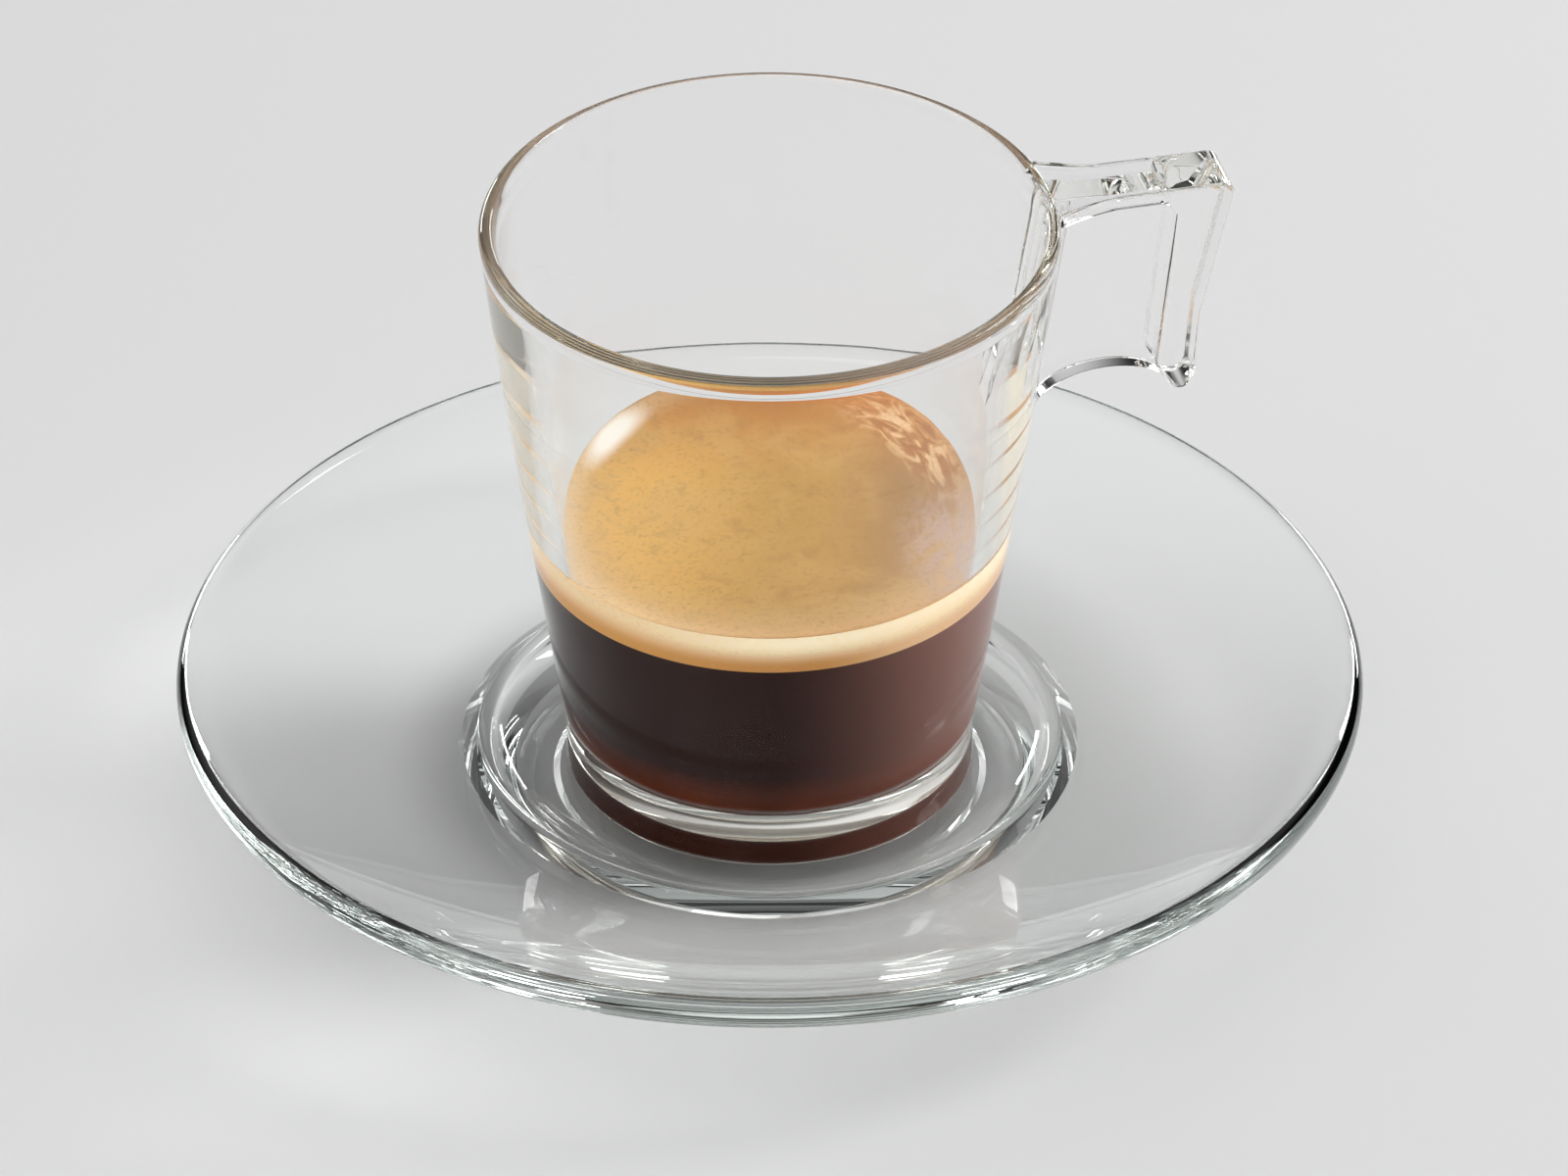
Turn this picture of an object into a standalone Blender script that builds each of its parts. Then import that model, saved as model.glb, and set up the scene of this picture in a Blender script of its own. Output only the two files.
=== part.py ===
"""An espresso in a tapered glass cup with a pinch handle, standing on a round glass saucer.

Metres, +Z up. The origin is the centre of the saucer's foot, on the surface it stands on.
The cup's handle points along +X.
"""

import math

import bmesh
import bpy
from mathutils import Matrix

MM = 0.001

# Driving dimensions of the saucer
SAUCER_RADIUS = 60.0 * MM
SAUCER_EDGE_TOP = 14.9 * MM
SAUCER_GLASS = 3.0 * MM
WELL_FLOOR = 3.5 * MM
WELL_FLOOR_RADIUS = 22.0 * MM
COVE_RADIUS = 8.2 * MM
COVE_SWEEP = 46
RIDGE_RADIUS = 29.0 * MM
RIDGE_TOP = 6.75 * MM
RIDGE_ROUNDING = 1.2 * MM
RIDGE_OUTER_LEAN = 40
FLANGE_START = (31.2 * MM, 5.75 * MM)
FLANGE_END = (58.1 * MM, 14.8 * MM)
FLANGE_SAG = 1.1 * MM
UNDERSIDE_EDGE = (57.3 * MM, 11.45 * MM)
UNDERSIDE_FOOT = (28.5 * MM, 2.0 * MM)
FOOT_RING_OUTER = 27.0 * MM
FOOT_RING_INNER = 22.0 * MM
FOOT_RECESS = 0.7 * MM

# Driving dimensions of the cup
GAP = 0.3 * MM
CUP_FOOT = WELL_FLOOR + GAP
CUP_TOP = 67.5 * MM
LIP_RADIUS = 28.9 * MM
LIP_THICKNESS = 1.9 * MM
LIP_INNER_DROP = 3.0 * MM
NECK_INNER_RADIUS = 26.2 * MM
NECK_HEIGHT = 60.0 * MM
FOOT_RADIUS = 20.6 * MM
FOOT_ROUNDING = 1.1 * MM
FOOT_STRAIGHT_TOP = 9.0 * MM
WALL_BOW = 0.35 * MM
DOME_FOOT_RADIUS = 19.4 * MM
DOME_TOP = (14.6 * MM, 4.75 * MM)
INNER_FLOOR = 9.0 * MM
INNER_CORNER = 3.5 * MM
INNER_WALL_FOOT_RADIUS = 18.4 * MM
INNER_WALL_FOOT = 14.0 * MM

# Driving dimensions of the handle, as (distance from the cup's axis, height)
HANDLE_WIDTH = 7.2 * MM
WEB_THICKNESS = 3.3 * MM
HANDLE_TOP = 67.4 * MM
HANDLE_REACH = 46.9 * MM
FLANGE_THICKNESS = 1.6 * MM
HANDLE_CORNER = 1.5 * MM
HANDLE_ROOT_RADIUS = 28.0 * MM
LEG_WAIST = (43.7 * MM, 52.5 * MM)
LEG_TIP_OUTER = (43.1 * MM, 45.0 * MM)
LEG_TIP = (42.0 * MM, 43.6 * MM)
LEG_TIP_INNER = (40.7 * MM, 43.9 * MM)
LEG_INNER_FOOT = (38.9 * MM, 46.8 * MM)
LEG_INNER_TOP = (40.9 * MM, 64.4 * MM)
LEG_TO_FLANGE_RADIUS = 39.9 * MM
WEB_IN_LEG = 1.3 * MM
WEB_FOOT = (25.0 * MM, 40.9 * MM)
ARCH_RADIUS = 7.6 * MM
ARCH_CENTRE = (34.3 * MM, 41.5 * MM)
ARCH_FLATTEN = 0.62
HANDLE_ROUNDING = 0.6 * MM
ROOT_THICKNESS = 4.8 * MM
ROOT_REACH = 1.5 * MM
ROOT_FOOT = 43.1 * MM
FLARE_END_RADIUS = 35.0 * MM
FLARE_WIDTH = 2.2 * MM
FLARE_STEP = 0.02 * MM

# Driving dimensions of the drink
CREMA_TOP = 33.2 * MM
CREMA_THICKNESS = 4.1 * MM
CREMA_EDGE_RISE = 0.3 * MM
CREMA_EDGE_WIDTH = 2.5 * MM

TURN_STEPS = 72


def arc(centre_r, centre_z, radius, start_deg, end_deg, count, flatten=1.0):
    """Points on a circle, or on an ellipse whose height is `flatten` times its width."""
    points = []
    for i in range(count + 1):
        angle = math.radians(start_deg + (end_deg - start_deg) * i / count)
        up = radius * flatten * math.sin(angle)
        points.append((centre_r + radius * math.cos(angle), centre_z + up))
    return points


def bowed(start, end, bow, count):
    """Points from start to end on a shallow parabola that stands `bow` to the left of the line."""
    run = end[0] - start[0]
    rise = end[1] - start[1]
    length = math.hypot(run, rise)
    side = (-rise / length, run / length)
    points = []
    for i in range(count + 1):
        t = i / count
        push = 4 * bow * t * (1 - t)
        points.append((start[0] + run * t + side[0] * push, start[1] + rise * t + side[1] * push))
    return points


def glass(name, colour, roughness):
    return principled(name, colour, roughness, transmission=1.0)


def principled(name, colour, roughness, transmission=0.0):
    material = bpy.data.materials.new(name)
    material.use_nodes = True
    shader = material.node_tree.nodes["Principled BSDF"]
    shader.inputs["Base Color"].default_value = (*colour, 1.0)
    shader.inputs["Roughness"].default_value = roughness
    shader.inputs["Metallic"].default_value = 0.0
    shader.inputs["Transmission Weight"].default_value = transmission
    return material


def collection(name):
    made = bpy.data.collections.new(name)
    bpy.context.scene.collection.children.link(made)
    return made


def turned(name, profile, material, into):
    """A solid of revolution: the profile runs from the axis, down the outer side, to the axis."""
    mesh = bpy.data.meshes.new(name)
    edges = [(i, i + 1) for i in range(len(profile) - 1)]
    mesh.from_pydata([(r, 0.0, z) for r, z in profile], edges, [])
    mesh.materials.append(material)
    obj = bpy.data.objects.new(name, mesh)
    into.objects.link(obj)
    screw = obj.modifiers.new("turn", "SCREW")
    screw.axis = "Z"
    screw.angle = 2 * math.pi
    screw.steps = TURN_STEPS
    screw.render_steps = TURN_STEPS
    screw.use_merge_vertices = True
    screw.merge_threshold = 0.00001
    screw.use_smooth_shade = True
    return obj


def slab(name, outline, thickness, rounding, into, placing):
    """A flat outline given `thickness` about its plane, put in place, with rounded edges."""
    curve = bpy.data.curves.new(name, "CURVE")
    curve.dimensions = "2D"
    curve.fill_mode = "BOTH"
    curve.extrude = thickness / 2
    spline = curve.splines.new("POLY")
    spline.points.add(len(outline) - 1)
    for point, (r, z) in zip(spline.points, outline):
        point.co = (r, z, 0.0, 1.0)
    spline.use_cyclic_u = True
    sketch = bpy.data.objects.new(name + "_outline", curve)
    into.objects.link(sketch)
    graph = bpy.context.evaluated_depsgraph_get()
    mesh = bpy.data.meshes.new_from_object(sketch.evaluated_get(graph))
    bpy.data.objects.remove(sketch)
    bm = bmesh.new()
    bm.from_mesh(mesh)
    bmesh.ops.remove_doubles(bm, verts=bm.verts, dist=0.000001)
    bmesh.ops.dissolve_limit(bm, angle_limit=math.radians(1), verts=bm.verts, edges=bm.edges)
    bmesh.ops.transform(bm, matrix=placing, verts=bm.verts)
    bmesh.ops.recalc_face_normals(bm, faces=bm.faces)
    bm.to_mesh(mesh)
    bm.free()
    obj = bpy.data.objects.new(name, mesh)
    into.objects.link(obj)
    bevel = obj.modifiers.new("rounding", "BEVEL")
    bevel.width = rounding
    bevel.segments = 2
    bevel.limit_method = "ANGLE"
    bevel.angle_limit = math.radians(50)
    bevel.use_clamp_overlap = True
    return obj


def inner_wall_radius(z):
    """Radius of the cup's hollow at a height on its straight wall, below the neck."""
    share = (z - INNER_WALL_FOOT) / (NECK_HEIGHT - INNER_WALL_FOOT)
    return INNER_WALL_FOOT_RADIUS + share * (NECK_INNER_RADIUS - INNER_WALL_FOOT_RADIUS)


def hollow_corner():
    """The rounded corner between the cup's inner floor and its wall."""
    slope = math.degrees(math.atan2(
        NECK_INNER_RADIUS - INNER_WALL_FOOT_RADIUS, NECK_HEIGHT - INNER_WALL_FOOT
    ))
    centre_z = INNER_FLOOR + INNER_CORNER
    wall_z = centre_z - INNER_CORNER * math.sin(math.radians(slope))
    wall_r = inner_wall_radius(wall_z)
    centre_r = wall_r - INNER_CORNER * math.cos(math.radians(slope))
    return centre_r, centre_z, slope


def cup_profile():
    centre_r, centre_z, slope = hollow_corner()
    lip = LIP_THICKNESS / 2
    inside = [(0.0, INNER_FLOOR)]
    inside += arc(centre_r, centre_z, INNER_CORNER, -90, -slope, 5)
    inside.append((NECK_INNER_RADIUS, NECK_HEIGHT))
    inner_flatten = LIP_INNER_DROP / lip
    lip_round = arc(LIP_RADIUS - lip, CUP_TOP - LIP_INNER_DROP, lip, 180, 90, 4, inner_flatten)
    lip_round += arc(LIP_RADIUS - lip, CUP_TOP - lip, lip, 90, 0, 3)[1:]
    wall = bowed((LIP_RADIUS, CUP_TOP - lip), (FOOT_RADIUS, FOOT_STRAIGHT_TOP), WALL_BOW, 6)[1:]
    foot = arc(FOOT_RADIUS - FOOT_ROUNDING, CUP_FOOT + FOOT_ROUNDING, FOOT_ROUNDING, 0, -90, 3)
    dome = [(DOME_FOOT_RADIUS, CUP_FOOT), DOME_TOP, (0.0, DOME_TOP[1])]
    return inside + lip_round + wall + foot + dome


def flange_and_leg_outline():
    """The wide flange level with the lip and the leg that hangs from its outer end."""
    corner = arc(HANDLE_REACH - HANDLE_CORNER, HANDLE_TOP - HANDLE_CORNER, HANDLE_CORNER, 90, 10, 4)
    flange_under = HANDLE_TOP - FLANGE_THICKNESS
    return [
        (HANDLE_ROOT_RADIUS, flange_under),
        (HANDLE_ROOT_RADIUS, HANDLE_TOP),
        *corner,
        LEG_WAIST,
        LEG_TIP_OUTER,
        LEG_TIP,
        LEG_TIP_INNER,
        LEG_INNER_FOOT,
        LEG_INNER_TOP,
        (LEG_TO_FLANGE_RADIUS, flange_under),
    ]


def web_outline():
    """The thinner web that fills the corner, with the finger arch cut into its underside."""
    arch = arc(*ARCH_CENTRE, ARCH_RADIUS, 35, 172, 9, ARCH_FLATTEN)
    web_top = HANDLE_TOP - FLANGE_THICKNESS / 2
    return [
        (HANDLE_ROOT_RADIUS, web_top),
        (LEG_INNER_TOP[0] + WEB_IN_LEG, web_top),
        (LEG_INNER_FOOT[0] + WEB_IN_LEG, LEG_INNER_FOOT[1]),
        *arch,
        WEB_FOOT,
    ]


def root_outline():
    """A thicker rib that carries the web into the cup's leaning wall."""
    lean = (LIP_RADIUS - FOOT_RADIUS) / (CUP_TOP - LIP_THICKNESS / 2 - FOOT_STRAIGHT_TOP)
    foot_r = FOOT_RADIUS + (ROOT_FOOT - FOOT_STRAIGHT_TOP) * lean
    web_top = HANDLE_TOP - FLANGE_THICKNESS / 2
    into_wall = 0.3 * MM
    return [
        (HANDLE_ROOT_RADIUS - into_wall, web_top),
        (LIP_RADIUS + ROOT_REACH, web_top),
        (foot_r + ROOT_REACH, ROOT_FOOT + 2.0 * MM),
        (foot_r - 0.5 * MM, ROOT_FOOT - 1.0 * MM),
    ]


def flare_outline():
    """Seen from above, the flange spreads where it meets the lip."""
    side = []
    steps = 5
    for i in range(steps + 1):
        r = HANDLE_ROOT_RADIUS + (FLARE_END_RADIUS - HANDLE_ROOT_RADIUS) * i / steps
        spread = FLARE_WIDTH * (1 - i / steps) ** 1.5
        side.append((r, HANDLE_WIDTH / 2 + spread - 0.1 * MM))
    return side + [(r, -y) for r, y in reversed(side)]


def make_cup(material, into, cutters):
    cup = turned("cup", cup_profile(), material, into)
    upright = Matrix.Rotation(math.pi / 2, 4, "X")
    level = Matrix.Translation((0.0, 0.0, HANDLE_TOP - FLANGE_THICKNESS / 2))
    flare_thickness = FLANGE_THICKNESS - 2 * FLARE_STEP
    outlines = [
        ("handle_frame", flange_and_leg_outline(), HANDLE_WIDTH, HANDLE_ROUNDING, upright),
        ("handle_web", web_outline(), WEB_THICKNESS, HANDLE_ROUNDING / 3, upright),
        ("handle_root", root_outline(), ROOT_THICKNESS, HANDLE_ROUNDING, upright),
        ("handle_flare", flare_outline(), flare_thickness, HANDLE_ROUNDING * 0.9, level),
    ]
    pieces = []
    for name, outline, thickness, rounding, placing in outlines:
        pieces.append(slab(name, outline, thickness, rounding, cutters, placing))
    for piece in pieces:
        piece.hide_render = True
        piece.display_type = "WIRE"
        join = cup.modifiers.new("join_" + piece.name, "BOOLEAN")
        join.operation = "UNION"
        join.solver = "EXACT"
        join.object = piece
    return cup


def saucer_profile():
    edge = SAUCER_GLASS / 2
    cove_centre = WELL_FLOOR + COVE_RADIUS
    cove = arc(WELL_FLOOR_RADIUS, cove_centre, COVE_RADIUS, -90, COVE_SWEEP - 90, 4)
    ridge_centre = RIDGE_TOP - RIDGE_ROUNDING
    ridge_start = 90 + COVE_SWEEP
    ridge_end = 90 - RIDGE_OUTER_LEAN
    ridge = arc(RIDGE_RADIUS, ridge_centre, RIDGE_ROUNDING, ridge_start, ridge_end, 4)
    flange = bowed(FLANGE_START, FLANGE_END, -FLANGE_SAG, 6)
    rounded_edge = arc(SAUCER_RADIUS - edge, SAUCER_EDGE_TOP - edge, edge, 75, -60, 6)
    underside = bowed(UNDERSIDE_EDGE, UNDERSIDE_FOOT, FLANGE_SAG, 5)
    return [
        (0.0, WELL_FLOOR),
        *cove,
        *ridge,
        *flange,
        *rounded_edge,
        *underside,
        (FOOT_RING_OUTER, 0.0),
        (FOOT_RING_INNER, 0.0),
        (FOOT_RING_INNER - FOOT_RECESS, FOOT_RECESS),
        (0.0, FOOT_RECESS),
    ]


def coffee_profile():
    centre_r, centre_z, slope = hollow_corner()
    top = CREMA_TOP - CREMA_THICKNESS - GAP
    return [
        (0.0, top),
        (inner_wall_radius(top) - GAP, top),
        *arc(centre_r, centre_z, INNER_CORNER - GAP, -slope, -90, 5),
        (0.0, INNER_FLOOR + GAP),
    ]


def crema_profile():
    bottom = CREMA_TOP - CREMA_THICKNESS
    side = inner_wall_radius(CREMA_TOP) - GAP
    return [
        (0.0, CREMA_TOP),
        (side - CREMA_EDGE_WIDTH, CREMA_TOP),
        (side - CREMA_EDGE_WIDTH / 4, CREMA_TOP + CREMA_EDGE_RISE / 3),
        (side, CREMA_TOP + CREMA_EDGE_RISE),
        (inner_wall_radius(bottom) - GAP, bottom),
        (0.0, bottom),
    ]


def main():
    for obj in list(bpy.data.objects):
        bpy.data.objects.remove(obj)
    espresso = collection("espresso")
    cutters = collection("cutters")
    clear_glass = glass("clear_glass", (0.96, 0.97, 0.95), 0.02)
    tinted_glass = glass("saucer_glass", (0.90, 0.96, 0.93), 0.02)
    dark_coffee = principled("coffee", (0.032, 0.014, 0.011), 0.1)
    golden_crema = principled("crema", (0.58, 0.36, 0.16), 0.45)
    make_cup(clear_glass, espresso, cutters)
    turned("saucer", saucer_profile(), tinted_glass, espresso)
    turned("coffee", coffee_profile(), dark_coffee, espresso)
    turned("crema", crema_profile(), golden_crema, espresso)


main()
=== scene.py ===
# %% [markdown]
# # An espresso in a glass cup
# This lesson dresses a small glass cup of espresso that stands on a glass saucer. The packed
# model comes first and stays fixed: it holds the sizes. Every piece that follows is shaped in the
# same frame, in metres, with the handle along +X and the table top at zero.

import math

import bpy
from mathutils import Matrix, Vector


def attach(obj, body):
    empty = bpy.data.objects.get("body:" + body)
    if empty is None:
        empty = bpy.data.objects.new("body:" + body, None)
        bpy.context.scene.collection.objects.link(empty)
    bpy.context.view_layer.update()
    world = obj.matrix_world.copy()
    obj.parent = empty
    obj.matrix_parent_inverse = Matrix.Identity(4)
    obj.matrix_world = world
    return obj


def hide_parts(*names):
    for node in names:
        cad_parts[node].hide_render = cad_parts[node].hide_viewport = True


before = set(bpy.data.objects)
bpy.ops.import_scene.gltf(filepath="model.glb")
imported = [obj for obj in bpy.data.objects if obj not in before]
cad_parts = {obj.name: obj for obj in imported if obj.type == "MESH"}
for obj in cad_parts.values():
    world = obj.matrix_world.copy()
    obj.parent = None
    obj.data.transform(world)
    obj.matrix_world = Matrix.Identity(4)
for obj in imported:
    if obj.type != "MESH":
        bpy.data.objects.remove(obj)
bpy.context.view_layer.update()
print("nodes:", sorted(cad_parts))

# %% [markdown]
# ## The camera
# A long lens from above flattens the circles evenly, as in a product picture. The handle points a
# little away from the viewer, so the camera stands a few degrees round the cup. The small shift
# only centres the frame.

# %% Place the camera
MM = 0.001
PICTURE_WIDTH = 1600
PICTURE_HEIGHT = 1200
FOCAL_PIXELS = 14059.1
CENTRE_PIXEL = (785.4, 605.47)
CAMERA_BACK = 1150.0 * MM
CAMERA_HEIGHT = 801.18 * MM
CAMERA_PITCH = math.radians(34.0768)
HANDLE_TURN = math.radians(13.5)
SENSOR = 36.0
FAR_CLIP = 10.0

camera_data = bpy.data.cameras.new("camera")
camera_data.sensor_width = SENSOR
camera_data.lens = FOCAL_PIXELS / PICTURE_WIDTH * SENSOR
camera_data.shift_x = (PICTURE_WIDTH / 2 - CENTRE_PIXEL[0]) / PICTURE_WIDTH
camera_data.shift_y = (CENTRE_PIXEL[1] - PICTURE_HEIGHT / 2) / PICTURE_WIDTH
camera_data.clip_end = FAR_CLIP
camera = bpy.data.objects.new("camera", camera_data)
bpy.context.scene.collection.objects.link(camera)
view_turn = Matrix.Rotation(-HANDLE_TURN, 4, "Z")
camera.location = view_turn @ Vector((0.0, -CAMERA_BACK, CAMERA_HEIGHT))
camera.rotation_euler = (math.pi / 2 - CAMERA_PITCH, 0.0, -HANDLE_TURN)
bpy.context.scene.camera = camera
print("lens:", round(camera_data.lens, 1), "mm")

# %% [markdown]
# ## Helpers for turned pieces
# Cup, saucer, coffee and crema are all turned shapes. By hand, one would draw half a section as a
# chain of points beside the axis and spin it. The first point is a small plane merged into one
# vertex; each further point is extruded from the last. Fine steps matter more than usual here,
# because light bends at every facet of clear glass.

# %% Draw a section and spin it
TURN_STEPS = 240
MERGE = 0.001 * MM


def only(obj):
    """Make one object the active and only selected one."""
    bpy.ops.object.select_all(action="DESELECT")
    obj.select_set(True)
    bpy.context.view_layer.objects.active = obj


def chain(name, points):
    """An object whose mesh is a chain of edges through the points, left in edit mode."""
    bpy.ops.object.select_all(action="DESELECT")
    bpy.ops.mesh.primitive_plane_add(size=MM, location=points[0])
    obj = bpy.context.object
    obj.name = obj.data.name = name
    bpy.ops.object.transform_apply(location=True, rotation=True, scale=True)
    bpy.ops.object.mode_set(mode="EDIT")
    bpy.ops.mesh.select_mode(type="VERT")
    bpy.ops.mesh.select_all(action="SELECT")
    bpy.ops.mesh.merge(type="CENTER")
    last = Vector(points[0])
    for point in points[1:]:
        step = Vector(point) - last
        bpy.ops.mesh.extrude_vertices_move(TRANSFORM_OT_translate={"value": step})
        last = Vector(point)
    return obj


def spun(name, section, steps=TURN_STEPS):
    """A closed turned solid: the section runs from the axis round to the axis again."""
    obj = chain(name, [(r, 0.0, z) for r, z in section])
    bpy.ops.mesh.select_all(action="SELECT")
    bpy.ops.mesh.spin(steps=steps, angle=2 * math.pi, center=(0, 0, 0), axis=(0, 0, 1))
    bpy.ops.mesh.select_all(action="SELECT")
    bpy.ops.mesh.remove_doubles(threshold=MERGE)
    bpy.ops.mesh.normals_make_consistent(inside=False)
    bpy.ops.object.mode_set(mode="OBJECT")
    print(name, "has", len(obj.data.polygons), "faces")
    return obj


# %% Helpers for rounded and bowed stretches of a section
def arc(centre, radius, start_deg, end_deg, count, flatten=1.0):
    """Points on a circle, or on an ellipse whose height is `flatten` times its width."""
    points = []
    for i in range(count + 1):
        angle = math.radians(start_deg + (end_deg - start_deg) * i / count)
        across = centre[0] + radius * math.cos(angle)
        up = centre[1] + radius * flatten * math.sin(angle)
        points.append((across, up))
    return points


def bowed(start, end, bow, count):
    """Points from start to end on a shallow parabola that stands `bow` to the left of the line."""
    run = end[0] - start[0]
    rise = end[1] - start[1]
    length = math.hypot(run, rise)
    points = []
    for i in range(count + 1):
        t = i / count
        push = 4 * bow * t * (1 - t) / length
        points.append((start[0] + run * t - rise * push, start[1] + rise * t + run * push))
    return points


# %% [markdown]
# ## Even shading
# A flat floor next to a tight curve picks up leaning normals when everything is shaded smooth, and
# glass then shows what lies beyond in the wrong place. Weighted normals let each large flat face
# keep its own direction, so the light runs straight where the glass is straight.

# %% Shade a finished mesh
SHARP_ANGLE = math.radians(35)
FLAT_FACE_WEIGHT = 90


def apply_modifier(obj, kind, **settings):
    """Add one modifier to an object, set it and apply it."""
    only(obj)
    bpy.ops.object.modifier_add(type=kind)
    modifier = obj.modifiers[-1]
    for key, value in settings.items():
        setattr(modifier, key, value)
    bpy.ops.object.modifier_apply(modifier=modifier.name)


def shade_evenly(obj):
    """Smooth shading in which the large flat faces keep their own direction."""
    only(obj)
    bpy.ops.object.shade_smooth_by_angle(angle=SHARP_ANGLE)
    apply_modifier(obj, "WEIGHTED_NORMAL", keep_sharp=True, weight=FLAT_FACE_WEIGHT)


# %% [markdown]
# ## The cup
# The cup is pressed glass: a straight tapered hollow, a slightly bowed outside, a fire-rounded lip
# that is a touch thicker than the wall under it, and a heavy base whose underside is a shallow
# dome. The wall gets thicker towards the base, which draws the drink's outline in at the sides.

# %% The cup's measures
CUP_FOOT = 3.8 * MM
CUP_TOP = 67.5 * MM
LIP_RADIUS = 28.9 * MM
LIP_HALF = 0.95 * MM
LIP_INNER_DROP = 3.0 * MM
NECK_INNER = (26.2 * MM, 60.0 * MM)
WALL_FOOT_INNER = (18.4 * MM, 14.0 * MM)
INNER_FLOOR = 9.0 * MM
INNER_CORNER = 3.5 * MM
FOOT_RADIUS = 20.6 * MM
FOOT_STRAIGHT_TOP = 9.0 * MM
FOOT_ROUNDING = 1.1 * MM
WALL_MIDDLE = 36.0 * MM
WALL_BOW = 0.35 * MM
DOME_FOOT = 19.4 * MM
DOME_TOP = (14.6 * MM, 4.75 * MM)
CORNER_STEPS = 14
LIP_INNER_STEPS = 14
LIP_OUTER_STEPS = 10
WALL_STEPS = 80
FOOT_STEPS = 8
DOME_STEPS = 4

wall_run = NECK_INNER[0] - WALL_FOOT_INNER[0]
wall_rise = NECK_INNER[1] - WALL_FOOT_INNER[1]
wall_lean = math.atan2(wall_run, wall_rise)


def inner_radius(z):
    """Radius of the hollow at a height on its straight wall."""
    return WALL_FOOT_INNER[0] + (z - WALL_FOOT_INNER[1]) * wall_run / wall_rise


corner_z = INNER_FLOOR + INNER_CORNER
corner_wall_z = corner_z - INNER_CORNER * math.sin(wall_lean)
corner_r = inner_radius(corner_wall_z) - INNER_CORNER * math.cos(wall_lean)
floor_middle = corner_r * 0.5
print("wall leans", round(math.degrees(wall_lean), 1), "degrees")

# %% The cup's section
lip_z = CUP_TOP - LIP_HALF
inner_floor = [(0.0, INNER_FLOOR), (floor_middle, INNER_FLOOR)]
inner_corner = arc(
    (corner_r, corner_z), INNER_CORNER, -90, -math.degrees(wall_lean), CORNER_STEPS
)
neck = [(inner_radius(WALL_MIDDLE), WALL_MIDDLE), NECK_INNER]
lip_r = LIP_RADIUS - LIP_HALF
lip_flatten = LIP_INNER_DROP / LIP_HALF
lip_inner_centre = (lip_r, CUP_TOP - LIP_INNER_DROP)
lip = arc(lip_inner_centre, LIP_HALF, 180, 90, LIP_INNER_STEPS, lip_flatten)
lip += arc((lip_r, lip_z), LIP_HALF, 90, 0, LIP_OUTER_STEPS)[1:]
outside_foot = (FOOT_RADIUS, FOOT_STRAIGHT_TOP)
outside = bowed((LIP_RADIUS, lip_z), outside_foot, WALL_BOW, WALL_STEPS)[1:]
foot_centre = (FOOT_RADIUS - FOOT_ROUNDING, CUP_FOOT + FOOT_ROUNDING)
foot = arc(foot_centre, FOOT_ROUNDING, 0, -90, FOOT_STEPS)
dome = bowed((DOME_FOOT, CUP_FOOT), DOME_TOP, 0.0, DOME_STEPS)
base = dome + [(DOME_TOP[0] * 0.5, DOME_TOP[1]), (0.0, DOME_TOP[1])]
cup = spun("glass_cup", inner_floor + inner_corner + neck + lip + outside + foot + base)

# %% [markdown]
# ## The handle
# The handle is a pinch grip. A flat flange runs out level with the lip, a leg hangs from its end,
# and a thinner web fills the corner between them, with a flat arch for the finger below. Flange
# and leg are one slab, the web is a second, a thicker rib joins the web to the wall, and a lying
# slab widens the flange where it meets the lip. Each is drawn as an outline, filled, pulled to its
# width, and rounded with a bevel. A union then makes one piece of glass of them all.

# %% The handle's measures, as distance from the axis and height
HANDLE_TOP = 67.4 * MM
HANDLE_REACH = 46.9 * MM
HANDLE_ROOT = 28.0 * MM
HANDLE_WIDTH = 7.2 * MM
WEB_THICKNESS = 3.3 * MM
HANDLE_CORNER = 1.5 * MM
HANDLE_CORNER_STEPS = 8
HANDLE_ROUNDING = 0.6 * MM
ROUNDING_STEPS = 4
ROUNDED_ANGLE = math.radians(50)
FLANGE_UNDER = 65.8 * MM
LEG_OUTSIDE = [(43.7 * MM, 52.5 * MM), (43.1 * MM, 45.0 * MM), (42.0 * MM, 43.6 * MM)]
LEG_INSIDE = [(40.7 * MM, 43.9 * MM), (38.9 * MM, 46.8 * MM), (40.9 * MM, 64.4 * MM)]
LEG_TO_FLANGE = (39.9 * MM, FLANGE_UNDER)
ARCH_CENTRE = (34.3 * MM, 41.5 * MM)
ARCH_RADIUS = 7.6 * MM
ARCH_FLATTEN = 0.62
ARCH_SWEEP = (35, 172)
ARCH_STEPS = 24
WEB_TOP = 66.6 * MM
WEB_IN_LEG = 1.3 * MM
WEB_FOOT = (25.0 * MM, 40.9 * MM)
WEB_ROUNDING = HANDLE_ROUNDING / 3
ROOT_THICKNESS = 4.8 * MM
ROOT_REACH = 1.5 * MM
ROOT_OVER_ARCH = 1.6 * MM
ROOT_TOP_IN = 0.3 * MM
ROOT_FOOT_IN = 0.5 * MM
ROOT_FOOT_RISE = 2.0 * MM
ROOT_FOOT_DROP = 1.0 * MM
FLARE_END = 35.0 * MM
FLARE_WIDTH = 2.2 * MM
FLARE_STEP = 0.02 * MM
FLARE_INSET = 0.1 * MM
FLARE_CURVE = 1.5
FLARE_STEPS = 12
FLARE_ROUNDING = HANDLE_ROUNDING * 0.9


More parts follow.
